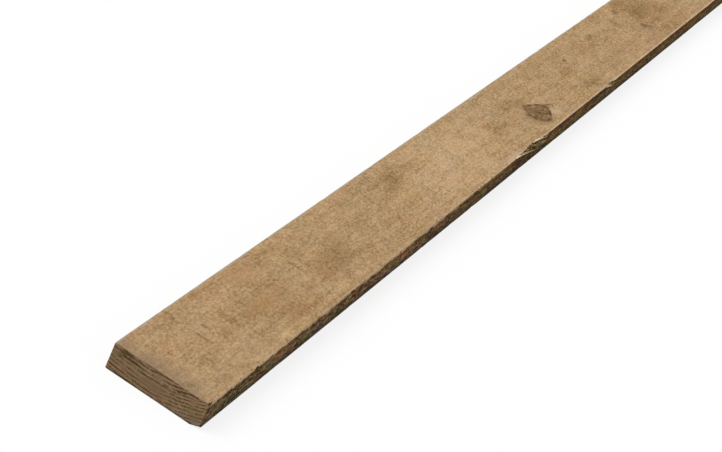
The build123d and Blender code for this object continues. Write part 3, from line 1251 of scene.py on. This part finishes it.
def looked_at(wires):
    """1 for a ray from the camera, a mirror or glass, and 0 for one that lights the object."""
    ray = wires.add("ShaderNodeLightPath").outputs
    kinds = ("Camera", "Glossy", "Transmission")
    camera, mirror, glass = (Signal(wires, ray[f"Is {kind} Ray"]) for kind in kinds)
    return wires.math("MAXIMUM", camera, wires.math("MAXIMUM", mirror, glass))


def floor_material():
    """White where it is looked at, apart from the shadow, and a dull grey for light."""
    material = bpy.data.materials.new("pale_floor")
    material.use_nodes = True
    wires = Wiring(material.node_tree)
    wires.tree.nodes.clear()
    matt = wires.run(wires.add("ShaderNodeBsdfDiffuse"), (FLOOR_BOUNCE,))
    lit = wires.run(wires.add("ShaderNodeBsdfDiffuse"), (WHITE,))
    glow = wires.run(wires.add("ShaderNodeEmission"), (WHITE,))
    seen = wires.run(wires.add("ShaderNodeMixShader"), (SHADOW_SHARE, glow, lit))
    either = wires.run(wires.add("ShaderNodeMixShader"), (looked_at(wires), matt, seen))
    wires.feed(wires.add("ShaderNodeOutputMaterial").inputs["Surface"], either)
    return material


sheet = bmesh.new()
bmesh.ops.create_grid(sheet, x_segments=1, y_segments=1, size=FLOOR_SIZE / 2)
mesh = bpy.data.meshes.new("floor")
sheet.to_mesh(mesh)
sheet.free()
mesh.materials.append(floor_material())
floor = put_in_scene("floor", mesh)
print("floor", FLOOR_SIZE, "m wide")

# %% The sky and the sun
SKY_LEVEL = 0.45
SUN_LEVEL = 0.70
SUN_TOWARDS = Vector((-0.25, 0.35, 0.55))
SUN_SOFTNESS = math.radians(40)

world = bpy.data.worlds.new("studio")
world.use_nodes = True
wires = Wiring(world.node_tree)
sky = world.node_tree.nodes["Background"].inputs
wires.feed(sky["Color"], WHITE)
wires.feed(sky["Strength"], looked_at(wires) * (1 - SKY_LEVEL) + SKY_LEVEL)
bpy.context.scene.world = world
lamp = bpy.data.lights.new("soft_sun", "SUN")
lamp.energy = SUN_LEVEL * math.pi
lamp.angle = SUN_SOFTNESS
sun = put_in_scene("soft_sun", lamp)
sun.rotation_euler = SUN_TOWARDS.to_track_quat("Z", "Y").to_euler()
bpy.context.scene.view_settings.view_transform = "Standard"
print("sky", SKY_LEVEL, "and sun", SUN_LEVEL)

# %% [markdown]
# The camera repeats the photograph's view: a long lens, looking down on the board from beyond its
# front end, and rolled so that the board climbs steeply across the picture. It is aimed at a point on
# the top face and then backed away along its own line of sight.

# %% The camera
AIM_FROM_FRONT = 406.28 * MM
AIM_ACROSS = -0.58 * MM
CAMERA_DISTANCE = 2.1072
CAMERA_HEADING = math.radians(14.332)
CAMERA_DIP = math.radians(28.043)
CAMERA_ROLL = math.radians(24.828)
LENS = 103.49
SENSOR_WIDTH = 36

sight = Vector((
    math.cos(CAMERA_DIP) * math.cos(CAMERA_HEADING),
    math.cos(CAMERA_DIP) * math.sin(CAMERA_HEADING),
    -math.sin(CAMERA_DIP),
))
aim = Vector((FRONT + AIM_FROM_FRONT, AIM_ACROSS, TOP))
lens = bpy.data.cameras.new("camera")
lens.lens = LENS
lens.sensor_width = SENSOR_WIDTH
lens.sensor_fit = "HORIZONTAL"
camera = put_in_scene("camera", lens)
level = sight.to_track_quat("-Z", "Y").to_matrix()
turned = level @ Matrix.Rotation(CAMERA_ROLL, 3, "Z")
camera.matrix_world = Matrix.Translation(aim - sight * CAMERA_DISTANCE) @ turned.to_4x4()
bpy.context.scene.camera = camera
print("camera at", [round(value, 3) for value in camera.location])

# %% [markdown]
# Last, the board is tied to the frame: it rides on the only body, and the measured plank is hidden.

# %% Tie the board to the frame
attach(piece, "root")
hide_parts("plank")
